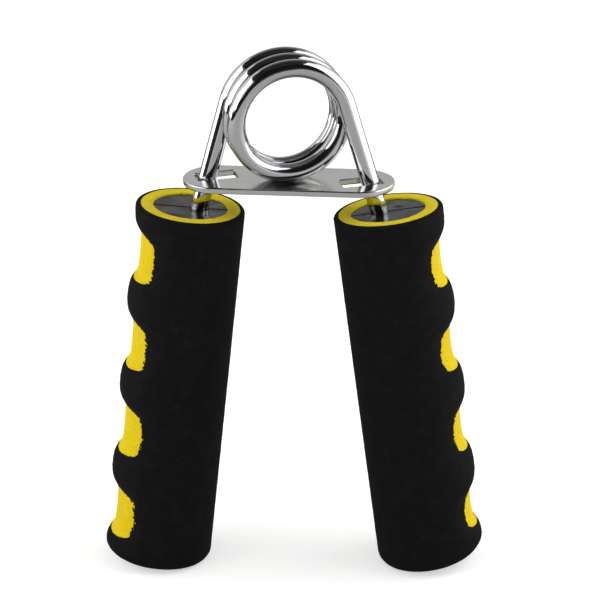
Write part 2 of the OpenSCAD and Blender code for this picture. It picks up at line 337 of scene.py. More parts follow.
LEVEL_BOARDS = {  # front and back edge, height, all in metres, brightness
    "grey_board_below": (-1.2, 0.25, 0.0005, 0.53),
    "dark_board_below_behind": (0.25, 1.2, 0.0005, 0.2),
    "black_board_overhead": (-1.2, 1.2, 1.6, 0.03),
}


def reflected_board(name, corners, brightness):
    """A board of even brightness that only reflections see."""
    material, _, shader = new_material(name)
    shader.inputs["Base Color"].default_value = linear("#000000")
    shader.inputs["Specular IOR Level"].default_value = 0.0
    shader.inputs["Emission Color"].default_value = linear(WHITE)
    shader.inputs["Emission Strength"].default_value = brightness
    made = stage_board(name, corners, material)
    made.visible_camera = made.visible_diffuse = made.visible_shadow = False
    made.visible_transmission = made.visible_volume_scatter = False
    return made


for name, (azimuths, elevations, distance, brightness) in UPRIGHT_BOARDS.items():
    reflected_board(name, wall_corners(azimuths, elevations, distance), brightness)
level_boards = {
    name: reflected_board(name, level_corners(LEVEL_BOARD_HALF, front, back, height), brightness)
    for name, (front, back, height, brightness) in LEVEL_BOARDS.items()}
print("boards:", ", ".join([*UPRIGHT_BOARDS, *LEVEL_BOARDS]))

# %% [markdown]
# The front board on the floor isn't even. It is darker round the object's foot, where its shadow
# falls, and brighter towards the softboxes. So its strength comes from the distance to the object
# and from X.

# %% Shade the board on the floor
SHADOW_FROM, SHADOW_TO, SHADOW_BRIGHTNESS = 0.05, 0.14, 0.33  # metres, metres, brightness
SIDE_GLOWS = (  # from and to along X, in metres, and the brightness added by then
    (0.06, 0.45, 0.5),
    (-0.15, -0.4, 0.18),
)


def shade_by_place(board, even_brightness):
    """Darkens a level board round the object's foot and brightens it towards its sides."""
    tree = board.data.materials[0].node_tree
    place = add_node(tree, "ShaderNodeTexCoord").outputs["Object"]
    across = add_node(tree, "ShaderNodeSeparateXYZ", sockets={0: place}).outputs["X"]
    away = add_node(tree, "ShaderNodeVectorMath", operation="LENGTH", sockets={0: place})
    brightness = add_node(tree, "ShaderNodeMapRange", sockets={
        "Value": away.outputs["Value"], "From Min": SHADOW_FROM, "From Max": SHADOW_TO,
        "To Min": SHADOW_BRIGHTNESS, "To Max": even_brightness}).outputs[0]
    for start, end, added in SIDE_GLOWS:
        glow = add_node(tree, "ShaderNodeMapRange", sockets={
            "Value": across, "From Min": start, "From Max": end, "To Min": 0.0, "To Max": added})
        brightness = add_node(tree, "ShaderNodeMath", operation="ADD",
                              sockets={0: brightness, 1: glow.outputs[0]}).outputs[0]
    tree.links.new(brightness, tree.nodes["Principled BSDF"].inputs["Emission Strength"])


even_brightness = LEVEL_BOARDS["grey_board_below"][-1]
shade_by_place(level_boards["grey_board_below"], even_brightness)
print("board on the floor:", SHADOW_BRIGHTNESS, "under the object,", even_brightness, "round it")

# %% [markdown]
# ## Chrome
#
# Chromium plating on polished steel is a plain mirror, a little darker than silver. Drawn wire
# keeps faint lines along its length under the plating, and pressed strip keeps those of its
# brushing. They are far too fine to see one by one, so the bump here is drawn a few times coarser
# than life and very shallow: it only breaks the edges of reflections.

# %% Chrome, with sizes in millimetres
SMUDGE_SIZE, SMUDGE_FROM, SMUDGE_TO = 4.545, 0.35, 0.7
WIRE_LINE_LENGTH, WIRE_LINE_SPACING = 27.78, 0.2723
PLATE_LINE_LENGTH, PLATE_LINE_SPACING, PLATE_NOISE_TURN = 3.846, 0.2747, 0.365
LINE_STRENGTH, LINE_DEPTH = 0.25, 0.01


def object_coordinates(tree, scale=(1, 1, 1), turn=0.0):
    """Object coordinates in metres, stretched by scale and then turned about Z."""
    place = add_node(tree, "ShaderNodeTexCoord").outputs["Object"]
    return add_node(tree, "ShaderNodeMapping", sockets={
        "Vector": place, "Rotation": (0, 0, turn), "Scale": scale}).outputs[0]


def wire_lines(tree):
    """The wire's own map, once round and metres along, scaled to the lines from drawing."""
    across, along = math.pi * WIRE_D / WIRE_LINE_SPACING, 1 / (WIRE_LINE_LENGTH * MM)
    where = add_node(tree, "ShaderNodeUVMap", uv_map="wire_map").outputs[0]
    return add_node(tree, "ShaderNodeMapping", sockets={
        "Vector": where, "Scale": (across, along, 1)}).outputs[0]


def plate_lines(tree):
    """Object coordinates scaled to the lines from brushing.

    A Mapping node scales before it turns. So the turn only picks another part of the noise, and
    the lines run along X, about 21 degrees off the plate's own length.
    """
    along, across = 1 / (PLATE_LINE_LENGTH * MM), 1 / (PLATE_LINE_SPACING * MM)
    return object_coordinates(tree, (along, across, across), PLATE_NOISE_TURN)


def chrome(name, colour, roughness_low, roughness_high, lines):
    """Bright chrome whose polish varies a little, with fine lines from drawing or brushing."""
    material, tree, shader = new_material(name)
    smudge = add_node(tree, "ShaderNodeTexNoise", sockets={
        "Vector": object_coordinates(tree), "Scale": 1 / (SMUDGE_SIZE * MM), "Detail": 3.0})
    polish = add_node(tree, "ShaderNodeMapRange", sockets={
        "Value": smudge.outputs["Fac"], "From Min": SMUDGE_FROM, "From Max": SMUDGE_TO,
        "To Min": roughness_low, "To Max": roughness_high})
    line = add_node(tree, "ShaderNodeTexNoise", sockets={
        "Vector": lines(tree), "Scale": 1.0, "Detail": 2.0})
    bump = add_node(tree, "ShaderNodeBump", sockets={
        "Height": line.outputs["Fac"], "Strength": LINE_STRENGTH, "Distance": LINE_DEPTH * MM})
    shader.inputs["Base Color"].default_value = linear(colour)
    shader.inputs["Metallic"].default_value = 1.0
    tree.links.new(polish.outputs[0], shader.inputs["Roughness"])
    tree.links.new(bump.outputs[0], shader.inputs["Normal"])
    return material


wire_chrome = chrome("chrome_plated_drawn_spring_wire", "#C9CACC", 0.05, 0.1, wire_lines)
plate_chrome = chrome("chrome_plated_pressed_steel", "#CACAC7", 0.15, 0.24, plate_lines)
print("materials:", wire_chrome.name, plate_chrome.name)

# %% [markdown]
# ## Core plastic
#
# The cores are moulded in black ABS against a polished mould, so they are glossy, a little dulled
# where they are rubbed, and gently wavy where thick parts sank as they cooled. A broad, deep bump
# gives the waves, and a finer noise varies the gloss.

# %% Core plastic, with sizes in millimetres
SINK_SIZE, SINK_DEPTH = 8.333, 1.0
RUB_SIZE, RUB_FROM, RUB_TO = 3.846, 0.3, 0.7
GLOSS_BEST, GLOSS_RUBBED = 0.14, 0.3

black_abs, tree, shader = new_material("moulded_black_abs")
where = object_coordinates(tree)
sink = add_node(tree, "ShaderNodeTexNoise", sockets={
    "Vector": where, "Scale": 1 / (SINK_SIZE * MM), "Detail": 1.0})
rub = add_node(tree, "ShaderNodeTexNoise", sockets={
    "Vector": where, "Scale": 1 / (RUB_SIZE * MM), "Detail": 4.0})
gloss = add_node(tree, "ShaderNodeMapRange", sockets={
    "Value": rub.outputs["Fac"], "From Min": RUB_FROM, "From Max": RUB_TO,
    "To Min": GLOSS_BEST, "To Max": GLOSS_RUBBED})
bump = add_node(tree, "ShaderNodeBump", sockets={
    "Height": sink.outputs["Fac"], "Strength": 1.0, "Distance": SINK_DEPTH * MM})
shader.inputs["Base Color"].default_value = linear("#131214")
shader.inputs["IOR"].default_value = 1.53
shader.inputs["Specular IOR Level"].default_value = 0.22
tree.links.new(gloss.outputs[0], shader.inputs["Roughness"])
tree.links.new(bump.outputs[0], shader.inputs["Normal"])
print("material:", black_abs.name)

# %% [markdown]
# ## Foam
#
# Both foams are soft rubber foam that was turned and ground to shape, which cuts its cells open.
# The open cells are 0.2 to 0.5 mm across. They catch no highlight, and each is painted as a speck
# that is darker than the skin between the cells: painted shade inside the open hole. Voronoi cells
# of that size make both the colour and the bump, and slow noise makes paler flecks. Near its top
# the yellow foam's colour is multiplied to be paler and greener.

# %% Foam materials, with sizes in millimetres
PORE_MIDDLE, PORE_RIM = 0.1, 0.55  # shares of a cell's width, from its middle
FLECK_SIZE, FLECK_FROM, FLECK_TO, FLECK_MOST = 3.846, 0.5, 0.8, 0.6
RELIEF_DEPTH, FLECK_RELIEF = 0.12, 0.8
CUT_TINT = (1.04, 1.13, 3.4, 1.0)  # multiplies red, green, blue and alpha
CUT_DEPTH, CUT_FADE = 2.8, 1.2


def foam(name, skin, pore_shade, fleck, cell_size, roughness, cut_height=None):
    """Ground rubber foam: skin between the cells, painted shade in each open cell, paler flecks.

    Above cut_height, in millimetres, its colour is multiplied by CUT_TINT."""
    material, tree, shader = new_material(name)
    where = object_coordinates(tree)
    cells = add_node(tree, "ShaderNodeTexVoronoi", sockets={
        "Vector": where, "Scale": 1 / (cell_size * MM), "Randomness": 1.0})
    blotch = add_node(tree, "ShaderNodeTexNoise", sockets={
        "Vector": where, "Scale": 1 / (FLECK_SIZE * MM), "Detail": 5.0, "Roughness": 0.65})
    is_skin = add_node(tree, "ShaderNodeMapRange", sockets={
        "Value": cells.outputs["Distance"], "From Min": PORE_MIDDLE, "From Max": PORE_RIM})
    # Painted shade: each open cell gets the darker second colour, which stands in for the shade
    # inside the hole.
    body = add_node(tree, "ShaderNodeMix", data_type="RGBA", sockets={
        "Factor": is_skin.outputs[0], "A": linear(pore_shade), "B": linear(skin)})
    is_fleck = add_node(tree, "ShaderNodeMapRange", sockets={
        "Value": blotch.outputs["Fac"], "From Min": FLECK_FROM, "From Max": FLECK_TO,
        "To Max": FLECK_MOST})
    colour = add_node(tree, "ShaderNodeMix", data_type="RGBA", sockets={
        "Factor": is_fleck.outputs[0], "A": body.outputs["Result"], "B": linear(fleck)})
    # Near the top the colour is multiplied by CUT_TINT, which makes it paler and greener.
    if cut_height:
        height = add_node(tree, "ShaderNodeSeparateXYZ", sockets={0: where}).outputs["Z"]
        is_cut = add_node(tree, "ShaderNodeMapRange", sockets={
            "Value": height, "From Max": cut_height * MM,
            "From Min": (cut_height - CUT_FADE) * MM})
        colour = add_node(tree, "ShaderNodeMix", data_type="RGBA", blend_type="MULTIPLY", sockets={
            "Factor": is_cut.outputs[0], "A": colour.outputs["Result"], "B": CUT_TINT})
    relief = add_node(tree, "ShaderNodeMath", operation="MULTIPLY_ADD", sockets={
        0: blotch.outputs["Fac"], 1: FLECK_RELIEF, 2: is_skin.outputs[0]})
    bump = add_node(tree, "ShaderNodeBump", sockets={
        "Height": relief.outputs[0], "Strength": 0.6, "Distance": RELIEF_DEPTH * MM})
    shader.inputs["Roughness"].default_value = roughness
    shader.inputs["IOR"].default_value = 1.45
    shader.inputs["Specular IOR Level"].default_value = 0.1
    tree.links.new(colour.outputs["Result"], shader.inputs["Base Color"])
    tree.links.new(bump.outputs[0], shader.inputs["Normal"])
    return material


# The second colour of each foam is the painted shade in its open cells.
black_foam = foam("ground_black_rubber_foam", "#141415", "#09090A", "#1F1F21", 0.42, 0.92)
yellow_foam = foam("ground_yellow_rubber_foam", "#E6CA11", "#CBA80A", "#EED834", 0.38, 0.85,
                   cut_height=grip_place("right").translation.z - CUT_DEPTH)
print("materials:", black_foam.name, yellow_foam.name)

# %% [markdown]
# ## Spring wire
#
# The spring, both legs and their tips are one length of wire, so they are made as one tube on one
# path: up the left leg, round the coil and down the right leg. Python works out the path's
# points, because the bends and the helix follow from the sizes.

# %% Path of the wire
BEND_R, BEND_STEPS, COIL_STEPS_PER_TURN, LEG_STEP = 15.0, 10, 120, 2.5


def straight(start, end):
    """Points about LEG_STEP apart, from start up to but not including end."""
    count = max(1, round((end - start).length / LEG_STEP))
    return [start.lerp(end, i / count) for i in range(count)]


def bent(before, corner, after):
    """Points round a bend of BEND_R at corner, between the directions before and after."""
    reach = BEND_R * math.tan(before.angle(after) / 2)
    start, end = corner - reach * before, corner + reach * after
    return [start.lerp(corner, t).lerp(corner.lerp(end, t), t)
            for t in (i / BEND_STEPS for i in range(BEND_STEPS + 1))]


bend = bent(leg_dir, bend_point, grip_dir)
right_leg = straight(leg_start, bend[0]) + bend[:-1] + straight(bend[-1], leg_tip) + [leg_tip]
left_leg = [HALF_TURN @ p for p in reversed(right_leg)]
coil_steps = round(2 * half_coil_turn / (2 * math.pi) * COIL_STEPS_PER_TURN)
coil = [helix_point(2 * half_coil_turn * i / coil_steps - half_coil_turn)
        for i in range(1, coil_steps)]
wire_path = left_leg + coil + right_leg
wire_length = sum((b - a).length for a, b in zip(wire_path, wire_path[1:]))
print("wire:", len(wire_path), "points,", round(wire_length), "mm long")

# %% [markdown]
# Geometry Nodes sweep the round section along the path, with the wire's diameter and the number
# of sides as named inputs. The sweep also stores a map, once round and metres along, for the
# lines from drawing. The result is then made a plain mesh.

# %% Sweep the wire with Geometry Nodes
WIRE_SIDES = 56


def new_tree(name, inputs):
    """A Geometry Nodes tree with a geometry in and out, and named inputs of (kind, value)."""
    tree = bpy.data.node_groups.new(name, "GeometryNodeTree")
    tree.interface.new_socket("Geometry", in_out="INPUT", socket_type="NodeSocketGeometry")
    for title, (kind, value) in inputs.items():
        socket = tree.interface.new_socket(title, in_out="INPUT", socket_type=kind)
        socket.default_value = value
    tree.interface.new_socket("Geometry", in_out="OUTPUT", socket_type="NodeSocketGeometry")
    return tree, tree.nodes.new("NodeGroupInput"), tree.nodes.new("NodeGroupOutput")


def add_modifier(piece, tree, values):
    """Puts the tree on the piece and sets its inputs by their identifiers."""
    modifier = piece.modifiers.new(tree.name, "NODES")
    modifier.node_group = tree
    for item in tree.interface.items_tree:
        if item.item_type == "SOCKET" and item.in_out == "INPUT" and item.name in values:
            modifier[item.identifier] = values[item.name]


def evaluated_mesh(made, name):
    """The plain mesh that an object's modifiers or curve settings come to."""
    mesh = bpy.data.meshes.new_from_object(
        made.evaluated_get(bpy.context.evaluated_depsgraph_get()))
    mesh.name = name
    return mesh


def sweep_tree(material):
    """A round bar swept along a line of edges, with its map stored as wire_map."""
    tree, given, made = new_tree("sweep_round_bar", {
        "Wire Diameter": ("NodeSocketFloat", 0.005), "Sides": ("NodeSocketInt", 32)})
    line = add_node(tree, "GeometryNodeMeshToCurve", sockets={"Mesh": given.outputs["Geometry"]})
    along = add_node(tree, "GeometryNodeSplineParameter")
    kept = add_node(tree, "GeometryNodeCaptureAttribute", domain="POINT")
    kept.capture_items.new("FLOAT", "Along")
    tree.links.new(line.outputs[0], kept.inputs["Geometry"])
    tree.links.new(along.outputs["Length"], kept.inputs["Along"])
    radius = add_node(tree, "ShaderNodeMath", operation="DIVIDE",
                      sockets={0: given.outputs["Wire Diameter"], 1: 2.0})
    section = add_node(tree, "GeometryNodeCurvePrimitiveCircle", sockets={
        "Resolution": given.outputs["Sides"], "Radius": radius.outputs[0]})
    round_kept = add_node(tree, "GeometryNodeCaptureAttribute", domain="POINT")
    round_kept.capture_items.new("FLOAT", "Round")
    tree.links.new(section.outputs[0], round_kept.inputs["Geometry"])
    tree.links.new(add_node(tree, "GeometryNodeSplineParameter").outputs["Factor"],
                   round_kept.inputs["Round"])
    tube = add_node(tree, "GeometryNodeCurveToMesh", sockets={
        "Curve": kept.outputs["Geometry"], "Profile Curve": round_kept.outputs["Geometry"],
        "Fill Caps": True})
    map_point = add_node(tree, "ShaderNodeCombineXYZ", sockets={
        "X": round_kept.outputs["Round"], "Y": kept.outputs["Along"]})
    mapped = add_node(tree, "GeometryNodeStoreNamedAttribute", data_type="FLOAT2", domain="CORNER",
                      sockets={"Geometry": tube.outputs[0], "Name": "wire_map",
                               "Value": map_point.outputs[0]})
    smooth = add_node(tree, "GeometryNodeSetShadeSmooth", sockets={"Geometry": mapped.outputs[0]})
    real = add_node(tree, "GeometryNodeRealizeInstances", sockets={"Geometry": smooth.outputs[0]})
    painted = add_node(tree, "GeometryNodeSetMaterial", sockets={
        "Geometry": real.outputs[0], "Material": material})
    tree.links.new(painted.outputs[0], made.inputs[0])
    return tree


mesh = bpy.data.meshes.new("spring_wire")
mesh.from_pydata([p * MM for p in wire_path], [(i, i + 1) for i in range(len(wire_path) - 1)], [])
spring_wire = add_object("spring_wire", mesh)
add_modifier(spring_wire, sweep_tree(wire_chrome),
             {"Wire Diameter": WIRE_D * MM, "Sides": WIRE_SIDES})
swept = evaluated_mesh(spring_wire, "spring_wire")
spring_wire.modifiers.clear()
spring_wire.data = swept
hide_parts("spring_coil", "left_leg", "right_leg")
print("spring wire:", len(spring_wire.data.polygons), "faces")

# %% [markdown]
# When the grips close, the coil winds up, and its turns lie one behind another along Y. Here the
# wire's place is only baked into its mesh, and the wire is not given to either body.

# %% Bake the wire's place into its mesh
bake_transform(spring_wire)

# %% [markdown]
# ## Guide plate
#
# The plate is pressed from strip, with two slots, and tumbled before plating, so its edges are
# rounded. A flat curve with holes, extruded and bevelled, is the short way to such a blank: the
# outline is one spline, each slot another, and the bevel rounds all the edges alike. The plate's
# turn and length and the slots' places are worked out from where the legs pass through it.

# %% Outlines of the plate and its slots
PLATE_END_STEPS, SLOT_CORNER_STEPS = 40, 6
plate_top = coil_centre.z - coil_r - wire_r - PLATE_COIL_CLEARANCE
plate_middle = plate_top - PLATE_THICKNESS / 2
leg_at_plate = leg_start + (leg_start.z - plate_middle) / -leg_dir.z * leg_dir
leg_cut_x = wire_r / math.cos(lean) + PLATE_THICKNESS / 2 * math.tan(lean)
leg_cut_y = wire_r / math.cos(lead) + PLATE_THICKNESS / 2 * math.tan(lead)
plate_turn = math.atan2(leg_at_plate.y, leg_at_plate.x)
plate_length = 2 * (leg_at_plate.to_2d().length + leg_cut_x + SLOT_END_CLEARANCE + PLATE_END_WALL)
slot_outer_end = leg_at_plate.x + leg_cut_x + SLOT_END_CLEARANCE
slot_width = 2 * (leg_cut_y + SLOT_SIDE_CLEARANCE)


def rounded_box(length, width, radius, steps):
    """Points round a rectangle with round corners, centred on the origin."""
    points = []
    for quarter, (sx, sy) in enumerate(((1, 1), (-1, 1), (-1, -1), (1, -1))):
        for i in range(steps + 1):
            angle = (quarter + i / steps) * math.pi / 2
            points.append(Vector((sx * (length / 2 - radius) + radius * math.cos(angle),
                                  sy * (width / 2 - radius) + radius * math.sin(angle), 0)))
    return points


turn_plate = Matrix.Rotation(plate_turn, 4, "Z")
slot_place = Matrix.Translation((slot_outer_end - SLOT_LENGTH / 2, leg_at_plate.y, 0))
edge_outline = rounded_box(plate_length, PLATE_WIDTH, PLATE_WIDTH / 2, PLATE_END_STEPS)
slot_outline = rounded_box(SLOT_LENGTH, slot_width, SLOT_CORNER_R, SLOT_CORNER_STEPS)
outlines = [[turn_plate @ p for p in edge_outline], [slot_place @ p for p in slot_outline],
            [HALF_TURN @ slot_place @ p for p in slot_outline]]
print("guide plate:", round(plate_length, 2), "x", PLATE_WIDTH, "x", PLATE_THICKNESS, "mm")

# %% [markdown]
# The curve is made a mesh, and the points that its parts have in common are joined. The plate's
# faces are flat and only its edges are round, so the shading of the faces is weighted by their
# size: that keeps a flat mirror flat right up to its edge.

# %% Guide plate
PLATE_EDGE_R, PLATE_EDGE_STEPS = 0.35, 4
PLATE_JOIN = 1e-7  # metres

blank = bpy.data.curves.new("guide_plate_blank", "CURVE")
blank.dimensions, blank.fill_mode = "2D", "BOTH"
blank.extrude = (PLATE_THICKNESS / 2 - PLATE_EDGE_R) * MM
blank.bevel_depth, blank.bevel_resolution = PLATE_EDGE_R * MM, PLATE_EDGE_STEPS
blank.offset = -PLATE_EDGE_R * MM
for outline in outlines:
    spline = blank.splines.new("POLY")
    spline.points.add(len(outline) - 1)
    for point, where in zip(spline.points, outline):
        point.co = (where.x * MM, where.y * MM, 0, 1)
    spline.use_cyclic_u = True
blank_object = add_object("guide_plate_blank", blank)
mesh = evaluated_mesh(blank_object, "pressed_guide_plate")
bpy.data.objects.remove(blank_object)
shape = bmesh.new()
shape.from_mesh(mesh)
bmesh.ops.remove_doubles(shape, verts=shape.verts, dist=PLATE_JOIN)
bmesh.ops.translate(shape, verts=shape.verts, vec=(0, 0, plate_middle * MM))
bmesh.ops.recalc_face_normals(shape, faces=shape.faces)
shape.to_mesh(mesh)
shape.free()


def finish_hard_piece(name, mesh, material):
    """An object of hard material whose flat faces stay flat beside their rounded edges."""
    mesh.shade_smooth()
    mesh.materials.clear()
    mesh.materials.append(material)
    piece = add_object(name, mesh)
    piece.modifiers.new("flat_faces_stay_flat", "WEIGHTED_NORMAL").weight = 100
    return piece


guide_plate = finish_hard_piece("pressed_guide_plate", mesh, plate_chrome)
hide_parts("guide_plate")
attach(guide_plate, "plate")
print("guide plate:", len(guide_plate.data.polygons), "faces")

# %% [markdown]
# ## Tops of the grips
#
# The foam and the core of a grip were faced off together, and not quite square to its axis: the
# front of the top is a little high. Every piece that reaches the top is lifted by the same rule,
# which fades out above the first groove.

# %% Lift the front of a grip's top
TOP_TILT, TILT_DEPTH = {"left": 0.8, "right": 3.3}, 8  # degrees, millimetres


def tilt_top(points, side):
    """Points in a grip's own frame, in millimetres, with the front of its top lifted."""
    front = -1 if side == "right" else 1
    near_top = np.clip(1 + points[..., 2] / TILT_DEPTH, 0, 1)
    share = near_top ** 2 * (3 - 2 * near_top)
    lifted = points.copy()
    lifted[..., 2] += front * math.tan(math.radians(TOP_TILT[side])) * points[..., 1] * share
    return lifted


print("tops tilted by", TOP_TILT, "degrees")

# %% [markdown]
# ## Cores
#
# The two halves of each core are moulded and meet at a seam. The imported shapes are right, but a
# moulding has no razor edges: the rims round its top disc, the leg's hole and the seam are
# rounded. So each half is copied, its loose triangles are joined, and the edges of its top face
# are bevelled.

# %% Cores with rounded top edges
CORE_EDGE_R, CORE_EDGE_STEPS, SHARP_ANGLE, TOP_BAND = 0.25, 3, math.radians(30), 0.4
CORE_JOIN = 1e-6  # metres


def round_core_half(node, side):
    """Puts a copy of a core half, with its top edges rounded, in its place."""
    place = grip_place(side)
    place_back = place.inverted()
    shape = bmesh.new()
    shape.from_mesh(frame["nodes"][node].data)
    bmesh.ops.remove_doubles(shape, verts=shape.verts, dist=CORE_JOIN)
    top = -CORE_RECESS - TOP_BAND

    def is_top(vertex):
        return (place_back @ (vertex.co / MM)).z > top

    edges = [e for e in shape.edges if len(e.link_faces) == 2
             and e.calc_face_angle(0) > SHARP_ANGLE and all(is_top(v) for v in e.verts)]
    bmesh.ops.bevel(shape, geom=edges, offset=CORE_EDGE_R * MM, segments=CORE_EDGE_STEPS,
                    profile=0.5, affect="EDGES", clamp_overlap=True)
    for vertex in shape.verts:
        lifted = tilt_top(np.array(place_back @ (vertex.co / MM)), side)
        vertex.co = place @ Vector(lifted) * MM
    mesh = bpy.data.meshes.new(f"{node}_moulding")
    shape.to_mesh(mesh)
    shape.free()
    piece = finish_hard_piece(f"{node}_moulding", mesh, black_abs)
    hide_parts(node)
    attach(piece, f"{side}_grip")
    print(node, "has", len(edges), "rounded top edges")


for side in SIDES:
    for half in ("peg", "socket"):
        round_core_half(f"{side}_core_{half}_half", side)

# %% [markdown]
# ## Foam shapes
#
# A grip is turned round and then ground in four places about an axis a little inward of its own,
# so the grooves are deep on its outward side and run out round its flanks. Both foams follow one
# rule: their radius is the turned profile or the ground one, whichever is smaller. Where the
# ground surface goes below the yellow tube's own radius, the black layer is gone and the yellow
# shows. The grooves are ground one by one, so each has its own height, length and reach round the
# grip, and its floor bows up a little towards its ends.

# %% The ground surface, in millimetres
FLOOR_BOW = {"left": 0.15, "right": 0.26}
GRINDING = {  # for each groove from the top down: how much lower it sits than planned, how much
    # longer its floor is, and how far inward of the grip's axis its grinding axis lies
    "left": ((-0.6, 0.9, 4.4), (0.1, 0.8, 4.4), (0.5, 1.2, 3.5), (0.5, 1.1, 3.5)),
    "right": ((0.5, 0.5, 5.4), (0.5, -0.1, 4.8), (0.1, -0.1, 6.4), (-0.7, -1.4, 7.6)),
}
NOT_GROUND = 1.5 * grip_r  # stands for a radius that no wheel reaches


def ground_radius(side, angle, z):
    """Distance of the ground surface from the grip's axis, at an angle from straight outward."""
    nearest = np.full(np.broadcast(angle, z).shape, NOT_GROUND)
    for groove, (drop, longer, shift) in enumerate(GRINDING[side]):
        away = np.abs(z + GROOVE_FIRST + drop + groove * GROOVE_PITCH)
        floor_end = (GROOVE_FLOOR + longer) / 2
        climb = np.clip((away - floor_end) / GROOVE_RAMP, 0, 1)
        bow = FLOOR_BOW[side] * np.minimum(away / floor_end, 1) ** 2
        rise = (((1 + GROOVE_OVERRUN) * GROOVE_DEPTH - FLOOR_BOW[side])
                * (1 - np.cos(np.pi * climb)) / 2)
        wheel = grip_r + shift - GROOVE_DEPTH + bow + rise
        wheel = np.where(away < floor_end + GROOVE_RAMP, wheel, np.inf)
        cut = (np.sqrt(np.maximum(wheel ** 2 - (shift * np.sin(angle)) ** 2, 0))
               - shift * np.cos(angle))
        nearest = np.minimum(nearest, cut)
    return nearest


print("radius in the first groove:",
      [round(float(ground_radius(side, 0, -GROOVE_FIRST)), 2) for side in SIDES], "mm")

# %% [markdown]
# Each foam is made as a grid: rows down its profile, and columns round it that lie close together
# on the outward side, where the grooves are. Fractal noise at a point makes the unevenness of
# ground foam, and a seed moves each grip to a different part of the noise, so no two are alike.

# %% Columns round a grip, and noise, in millimetres
AROUND_STEP_FINE, AROUND_STEP_COARSE, GROOVE_HALF_ANGLE = 0.3, 1.3, math.radians(60)
SEED_STEP = (17.3, 5.1, -9.7)
NOISE_DIMENSION, NOISE_LACUNARITY = 0.7, 2.1


def around_angles():
    """Angles round a grip from straight outward, close together where the grooves are."""
    fine = round(2 * GROOVE_HALF_ANGLE * grip_r / AROUND_STEP_FINE)
    coarse = round((2 * math.pi - 2 * GROOVE_HALF_ANGLE) * grip_r / AROUND_STEP_COARSE)
    grooved = np.linspace(-GROOVE_HALF_ANGLE, GROOVE_HALF_ANGLE, fine, endpoint=False)
    plain = np.linspace(GROOVE_HALF_ANGLE, 2 * math.pi - GROOVE_HALF_ANGLE, coarse, endpoint=False)
    return np.concatenate([grooved, plain])


def cylinder_points(radius, angle, z):
    """Points in the grip's frame, as an array of rows, columns and x, y, z."""
    radius, angle, z = np.broadcast_arrays(radius, angle, z)
    return np.stack([radius * np.cos(angle), radius * np.sin(angle), z], axis=-1)


def ragged(points, feature, octaves, seed):
    """Smooth noise at each point, about -1 to 1, with features of that size in millimetres."""
    offset = Vector([seed * step for step in SEED_STEP])
    values = [noise.fractal(Vector(p) / feature + offset, NOISE_DIMENSION, NOISE_LACUNARITY,
                            octaves) for p in points.reshape(-1, 3)]
    return np.array(values).reshape(points.shape[:-1])


angles = around_angles()
print("columns round a grip:", len(angles))

# %% [markdown]
# Two more helpers turn grids into closed meshes. One makes an object of a foam's points and
# presses its foot flat on the floor, as soft foam settles. The other joins the points that
# coincide, and counts the edges that are still open.

# %% From points to a closed piece
JOIN_DISTANCE = 2e-6  # metres


def foam_object(name, points, faces, side):
    """A smooth object from points in a grip's own frame, pressed flat where z would be below 0."""
    place = grip_place(side)
    moved = [place @ Vector(p) for p in points]
    for point in moved:
        point.z = max(point.z, 0.0)
    mesh = bpy.data.meshes.new(name)
    mesh.from_pydata([point * MM for point in moved], [], faces)
    mesh.shade_smooth()
    return add_object(name, mesh)


def tidy_mesh(piece, groups=None):
    """Joins the points that coincide in each group of points, and drops the points left loose."""
    shape = bmesh.new()
    shape.from_mesh(piece.data)
    points = list(shape.verts)
    for group in groups or [range(len(points))]:
        members = [points[i] for i in group if points[i].is_valid]
        bmesh.ops.remove_doubles(shape, verts=members, dist=JOIN_DISTANCE)
    loose = [v for v in shape.verts if not v.link_faces]
    bmesh.ops.delete(shape, geom=loose, context="VERTS")
    bmesh.ops.recalc_face_normals(shape, faces=shape.faces)
    open_edges = sum(1 for e in shape.edges if len(e.link_faces) != 2)
    shape.to_mesh(piece.data)
    shape.free()
    return open_edges


print("points closer than", JOIN_DISTANCE / MM, "mm are joined")

# %% [markdown]
# ## Black foam
#
# The black layer is a shell between the ground surface and the yellow tube. It feathers out to
# nothing round each window. The shell is a pair of grids, outside and inside, which are cut along
# the line where its thickness is nothing, so that the two skins meet there in one edge.

# %% Cut a shell where it has no thickness
CROSSING_MARGIN = 0.02  # share of a cell's side that a cut keeps away from its corners


def clipped_shell(outer, inner, thickness):
    """Points and faces of a closed shell between two grids, left out where thickness is below 0.

    The grids are rows by columns, and the columns go all the way round. Where the thickness passes
    through 0 between two corners of a cell, a point is put there, which both skins share."""
    rows, columns = thickness.shape
    below = rows * columns
    inner_points = inner.reshape(-1, 3)
    points = [tuple(p) for p in outer.reshape(-1, 3)] + [tuple(p) for p in inner_points]
    crossings = {}

    def crossing(a, b):
        key = (min(a, b), max(a, b))
        if key not in crossings:
            ta, tb = thickness.flat[key[0]], thickness.flat[key[1]]
            share = min(max(ta / (ta - tb), CROSSING_MARGIN), 1 - CROSSING_MARGIN)
            points.append(tuple(inner_points[key[0]] * (1 - share) + inner_points[key[1]] * share))
            crossings[key] = len(points) - 1
        return crossings[key]

    faces = []
    kept = thickness > 0
    for i in range(rows - 1):
        for j in range(columns):
            k = (j + 1) % columns
            ring = [i * columns + j, (i + 1) * columns + j, (i + 1) * columns + k, i * columns + k]
            inside = [bool(kept.flat[r]) for r in ring]
            if all(inside):
                faces.append(tuple(ring))
                faces.append(tuple(r + below for r in reversed(ring)))
                continue
            if not any(inside):
                continue
            outline = []
            for n, (a, b) in enumerate(zip(ring, ring[1:] + ring[:1])):
                if inside[n]:
                    outline.append((a, True))
                if inside[n] != inside[(n + 1) % 4]:
                    outline.append((crossing(a, b), False))
            faces.append(tuple(p for p, _ in outline))
            faces.append(tuple(p + below if moved else p for p, moved in reversed(outline)))
    return points, faces


